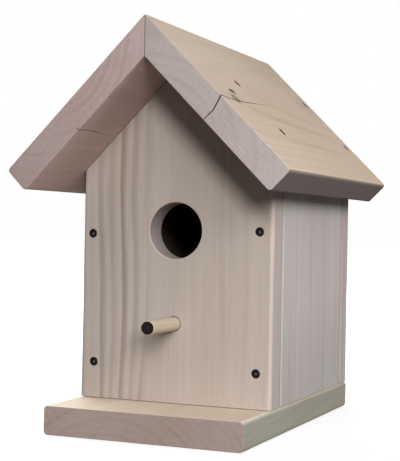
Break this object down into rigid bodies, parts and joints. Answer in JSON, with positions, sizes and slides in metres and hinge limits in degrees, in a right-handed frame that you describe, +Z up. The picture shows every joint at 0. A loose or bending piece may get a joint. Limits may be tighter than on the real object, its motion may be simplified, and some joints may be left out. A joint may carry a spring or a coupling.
{
  "type": "birdhouse",
  "caption": "Wooden birdhouse of screwed boards: a box on a base that runs forward as a sill, a mitred gable roof, a round entrance hole and a dowel perch.",
  "frame": {"origin": "middle of the outer box's footprint, on the plane that the base board stands on", "axes": "+Z up. The front with the door and perch faces -Y. +X is to the right of someone who looks at the front."},
  "size_m": [0.1958, 0.232, 0.2722],
  "materials": {
    "gable_pine": "planed raw softwood, matt, vertical grain",
    "side_pine": "planed raw softwood, matt, vertical grain",
    "base_pine": "planed raw softwood, matt, grain from front to back",
    "roof_pine": "planed raw softwood, matt, grain along the ridge",
    "dowel_birch": "smooth raw hardwood dowel, dark stained end",
    "screw_steel": "black coated countersunk wood screws"
  },
  "bodies": {
    "root": {"front_panel": "gable_pine", "back_panel": "gable_pine", "left_side_panel": "side_pine", "right_side_panel": "side_pine", "base_board": "base_pine", "left_roof_board": "roof_pine", "right_roof_board": "roof_pine", "perch_dowel": "dowel_birch", "front_screw_left_lower": "screw_steel", "front_screw_left_upper": "screw_steel", "front_screw_right_lower": "screw_steel", "front_screw_right_upper": "screw_steel", "back_screw_left_lower": "screw_steel", "back_screw_left_upper": "screw_steel", "back_screw_right_lower": "screw_steel", "back_screw_right_upper": "screw_steel", "base_screw_left_front": "screw_steel", "base_screw_left_back": "screw_steel", "base_screw_right_front": "screw_steel", "base_screw_right_back": "screw_steel", "roof_screw_left_front_upper": "screw_steel", "roof_screw_left_front_lower": "screw_steel", "roof_screw_left_back_upper": "screw_steel", "roof_screw_left_back_lower": "screw_steel", "roof_screw_right_front_upper": "screw_steel", "roof_screw_right_front_lower": "screw_steel", "roof_screw_right_back_upper": "screw_steel", "roof_screw_right_back_lower": "screw_steel"}
  },
  "joints": []
}
